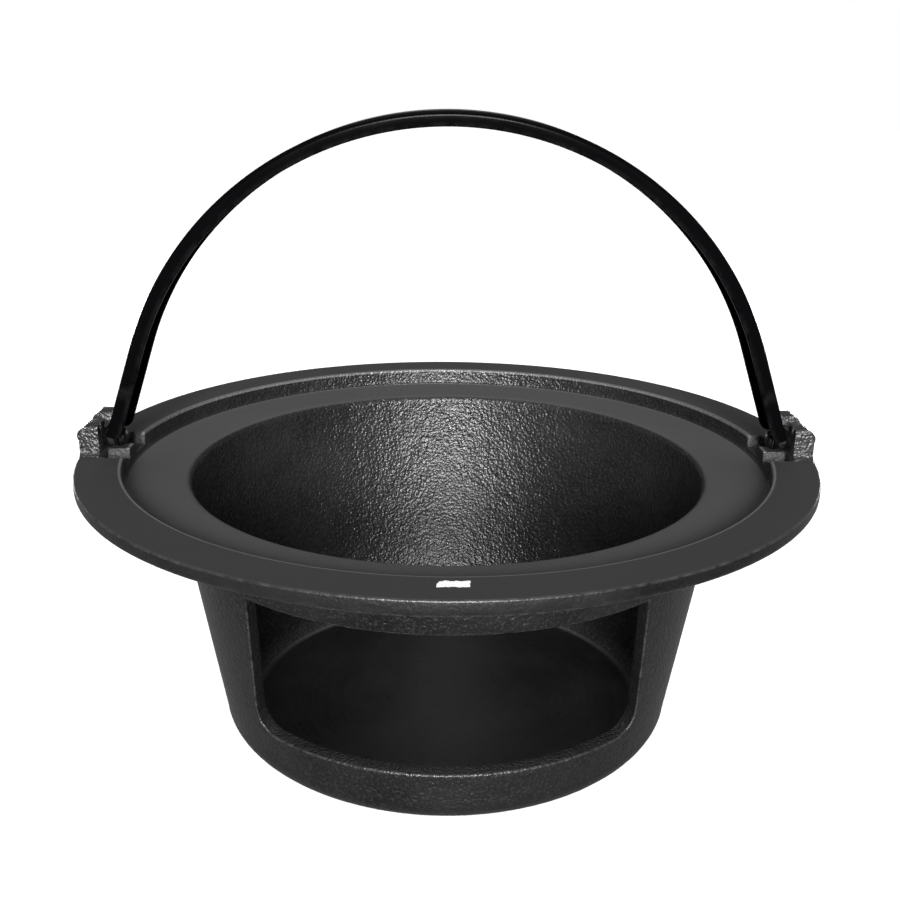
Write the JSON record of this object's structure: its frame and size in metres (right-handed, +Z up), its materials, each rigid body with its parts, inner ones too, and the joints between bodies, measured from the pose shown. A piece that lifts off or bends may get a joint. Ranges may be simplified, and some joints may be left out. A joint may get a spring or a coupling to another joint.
{
  "type": "charcoal forge",
  "caption": "Cast iron charcoal forge: a flanged round bowl with a front fire window, a stepped pan seat and a swinging bail handle.",
  "frame": {"origin": "centre of the flat base, on the surface that the forge stands on", "axes": "+Z up, the fire window faces -Y, the ears and the bail's pivots lie along X"},
  "size_m": [0.3084, 0.3, 0.2594],
  "materials": {
    "casting": "black heat-proof coating over a sand-cast grain",
    "bail_paint": "gloss black enamel",
    "pivot_steel": "blackened steel"
  },
  "bodies": {
    "forge": {"stove_body": "casting", "right_rivet": "pivot_steel", "left_rivet": "pivot_steel", "right_spacer": "pivot_steel", "left_spacer": "pivot_steel", "right_burr_washer": "pivot_steel", "left_burr_washer": "pivot_steel"},
    "bail": {"bail_handle": "bail_paint"}
  },
  "joints": [
    {"name": "bail_swing", "type": "hinge", "parent": "forge", "child": "bail", "pos_m": [0, 0, 0.1278], "axis": [1, 0, 0], "range_deg": [-67, 67]}
  ]
}
